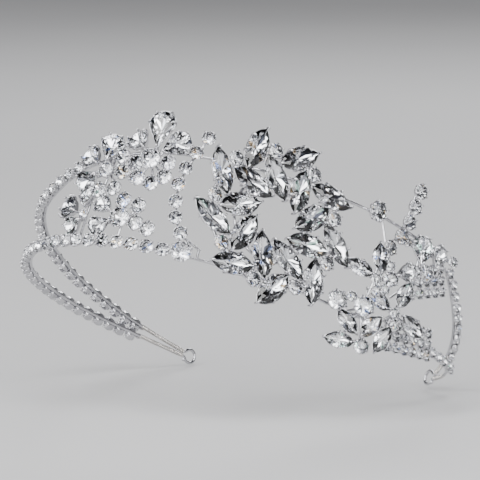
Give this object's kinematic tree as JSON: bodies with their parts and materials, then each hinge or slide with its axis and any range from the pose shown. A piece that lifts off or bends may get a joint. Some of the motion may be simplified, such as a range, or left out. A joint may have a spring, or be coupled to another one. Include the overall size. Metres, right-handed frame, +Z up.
{
  "type": "bridal tiara",
  "caption": "Side-accent crystal headband: two bowed wires set with claw-set stones, a round navette wreath, flowers and sprays, and a small eye at each end.",
  "frame": {"origin": "middle of the head opening, level with the middle of the lower wire's plan, in the worn pose", "axes": "+Z up, +X along the longest extent from the left end to the right end, -Y towards the face; the band is tilted front up by 28 degrees as worn"},
  "size_m": [0.1299, 0.1063, 0.094],
  "materials": {
    "rhodium": "polished rhodium plate",
    "binding_wire": "bright fine wire, wound close",
    "crystal": "faceted clear crystal with foiled back"
  },
  "bodies": {
    "root": {"band_lower_collets": "rhodium", "band_lower_stones": "crystal", "band_upper_collets": "rhodium", "band_upper_stones": "crystal", "binding_left": "binding_wire", "binding_right": "binding_wire", "bracket_left_collets": "rhodium", "bracket_left_stones": "crystal", "bracket_left_wire": "rhodium", "bracket_right_collets": "rhodium", "bracket_right_stones": "crystal", "bracket_right_wire": "rhodium", "chain_lower_left_collets": "rhodium", "chain_lower_left_stones": "crystal", "chain_lower_right_collets": "rhodium", "chain_lower_right_stones": "crystal", "chain_upper_left_collets": "rhodium", "chain_upper_left_stones": "crystal", "chain_upper_right_collets": "rhodium", "chain_upper_right_stones": "crystal", "end_pads": "rhodium", "eye_left": "rhodium", "eye_right": "rhodium", "flower_a_collets": "rhodium", "flower_a_stems": "rhodium", "flower_a_stones": "crystal", "flower_b_collets": "rhodium", "flower_b_stems": "rhodium", "flower_b_stones": "crystal", "flower_c_collets": "rhodium", "flower_c_stems": "rhodium", "flower_c_stones": "crystal", "flower_d_collets": "rhodium", "flower_d_stems": "rhodium", "flower_d_stones": "crystal", "rail_lower": "rhodium", "rail_rounds_collets": "rhodium", "rail_rounds_stones": "crystal", "rail_upper": "rhodium", "spray_e_collets": "rhodium", "spray_e_stems": "rhodium", "spray_e_stones": "crystal", "spray_f_collets": "rhodium", "spray_f_stems": "rhodium", "spray_f_stones": "crystal", "spray_g_collets": "rhodium", "spray_g_stems": "rhodium", "spray_g_stones": "crystal", "spray_r_collets": "rhodium", "spray_r_stems": "rhodium", "spray_r_stones": "crystal", "tie_wires": "rhodium", "wreath_inner_collets": "rhodium", "wreath_inner_stones": "crystal", "wreath_outer_collets": "rhodium", "wreath_outer_stones": "crystal", "wreath_rings": "rhodium", "wreath_round_collets": "rhodium", "wreath_round_stones": "crystal"}
  },
  "joints": []
}
